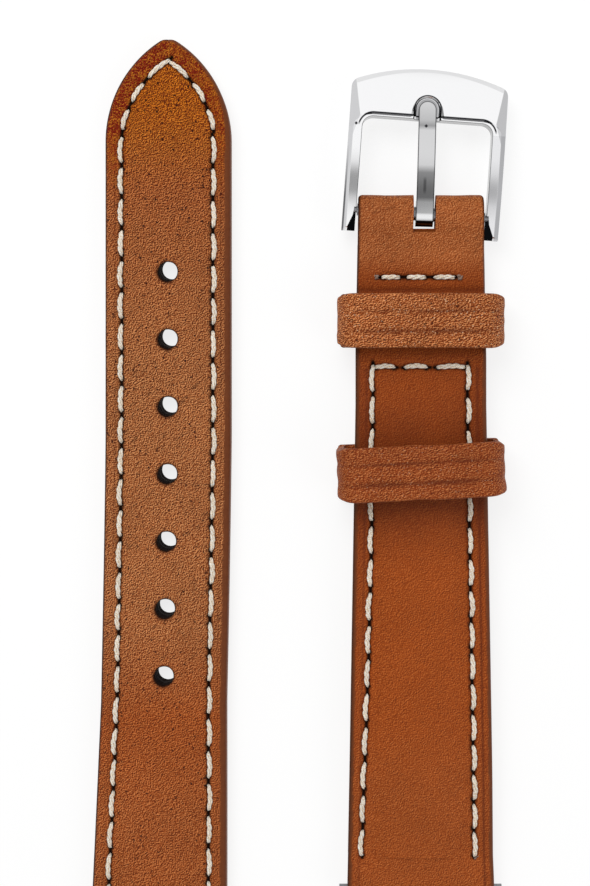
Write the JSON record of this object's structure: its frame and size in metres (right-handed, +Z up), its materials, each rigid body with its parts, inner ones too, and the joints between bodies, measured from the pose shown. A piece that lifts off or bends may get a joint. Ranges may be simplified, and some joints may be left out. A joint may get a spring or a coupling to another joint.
{
  "type": "leather watch strap",
  "caption": "Two-piece padded leather watch strap with stitched edges, punched adjusting holes, leather keepers, a pin buckle and sprung bars.",
  "frame": {"origin": "middle of the box round both halves, on the table they lie on", "axes": "+X across the strap towards the half with the buckle, +Y along it towards the tip and the buckle, +Z up from the table"},
  "size_m": [0.0474, 0.1202, 0.0087],
  "materials": {
    "tan_leather": "matt, fine pores, dark painted edges",
    "keeper_leather": "matt, coarser pores, pressed grooves",
    "lining_leather": "matt, smooth",
    "fibre_board": "matt",
    "thread": "twisted, waxed",
    "polished_steel": "polished",
    "bar_steel": "drawn",
    "spring_steel": "drawn wire"
  },
  "bodies": {
    "short_half": {"short_upper": "tan_leather", "short_lining": "lining_leather", "short_interlining": "fibre_board", "short_padding": "fibre_board", "short_stitching": "thread", "cross_stitching": "thread", "fixed_keeper": "keeper_leather"},
    "long_half": {"long_upper": "tan_leather", "long_lining": "lining_leather", "long_interlining": "fibre_board", "long_padding": "fibre_board", "long_stitching": "thread"},
    "free_keeper": {"free_keeper": "keeper_leather"},
    "buckle_frame": {"buckle_frame": "polished_steel"},
    "buckle_tongue": {"buckle_tongue": "polished_steel"},
    "long_bar": {"long_bar_tube": "bar_steel", "long_bar_spring": "spring_steel"},
    "long_bar_tip_left": {"long_bar_tip_left": "bar_steel"},
    "long_bar_tip_right": {"long_bar_tip_right": "bar_steel"},
    "short_bar": {"short_bar_tube": "bar_steel", "short_bar_spring": "spring_steel"},
    "short_bar_tip_left": {"short_bar_tip_left": "bar_steel"},
    "short_bar_tip_right": {"short_bar_tip_right": "bar_steel"},
    "buckle_bar": {"buckle_bar_tube": "bar_steel", "buckle_bar_spring": "spring_steel"},
    "buckle_bar_tip_left": {"buckle_bar_tip_left": "bar_steel"},
    "buckle_bar_tip_right": {"buckle_bar_tip_right": "bar_steel"}
  },
  "joints": [
    {"name": "long_half_lift", "type": "slide", "parent": "short_half", "child": "long_half", "axis": [0, 0, 1], "range_m": [0, 0.05]},
    {"name": "free_keeper_slide", "type": "slide", "parent": "short_half", "child": "free_keeper", "axis": [0, 1, 0], "range_m": [-0.021, 0.0093]},
    {"name": "buckle_swing", "type": "hinge", "parent": "short_half", "child": "buckle_frame", "pos_m": [0.01457, 0.04105, 0.00273], "axis": [0.9973, -0.0732, 0], "range_deg": [-95, 0]},
    {"name": "tongue_swing", "type": "hinge", "parent": "buckle_frame", "child": "buckle_tongue", "pos_m": [0.01457, 0.04105, 0.00273], "axis": [0.9995, -0.0314, 0], "range_deg": [0, 80]},
    {"name": "long_bar_spin", "type": "hinge", "parent": "long_half", "child": "long_bar", "pos_m": [-0.01453, -0.05835, 0.00178], "axis": [1, 0, 0], "continuous": true},
    {"name": "long_bar_tip_left_press", "type": "slide", "parent": "long_bar", "child": "long_bar_tip_left", "axis": [1, 0, 0], "range_m": [0, 0.001], "stiffness_N_per_m": 800, "springref_m": -0.001, "deforming": ["long_bar_spring"]},
    {"name": "long_bar_tip_right_press", "type": "slide", "parent": "long_bar", "child": "long_bar_tip_right", "axis": [-1, 0, 0], "range_m": [0, 0.001], "stiffness_N_per_m": 800, "springref_m": -0.001, "deforming": ["long_bar_spring"]},
    {"name": "short_bar_spin", "type": "hinge", "parent": "short_half", "child": "short_bar", "pos_m": [0.01457, -0.03235, 0.00178], "axis": [1, 0, 0], "continuous": true},
    {"name": "short_bar_tip_left_press", "type": "slide", "parent": "short_bar", "child": "short_bar_tip_left", "axis": [1, 0, 0], "range_m": [0, 0.001], "stiffness_N_per_m": 800, "springref_m": -0.001, "deforming": ["short_bar_spring"]},
    {"name": "short_bar_tip_right_press", "type": "slide", "parent": "short_bar", "child": "short_bar_tip_right", "axis": [-1, 0, 0], "range_m": [0, 0.001], "stiffness_N_per_m": 800, "springref_m": -0.001, "deforming": ["short_bar_spring"]},
    {"name": "buckle_bar_spin", "type": "hinge", "parent": "short_half", "child": "buckle_bar", "pos_m": [0.01457, 0.04105, 0.00273], "axis": [0.9973, -0.0732, 0], "continuous": true},
    {"name": "buckle_bar_tip_left_press", "type": "slide", "parent": "buckle_bar", "child": "buckle_bar_tip_left", "axis": [0.9973, -0.0732, 0], "range_m": [0, 0.001], "stiffness_N_per_m": 800, "springref_m": -0.001, "deforming": ["buckle_bar_spring"]},
    {"name": "buckle_bar_tip_right_press", "type": "slide", "parent": "buckle_bar", "child": "buckle_bar_tip_right", "axis": [-0.9973, 0.0732, 0], "range_m": [0, 0.001], "stiffness_N_per_m": 800, "springref_m": -0.001, "deforming": ["buckle_bar_spring"]}
  ]
}
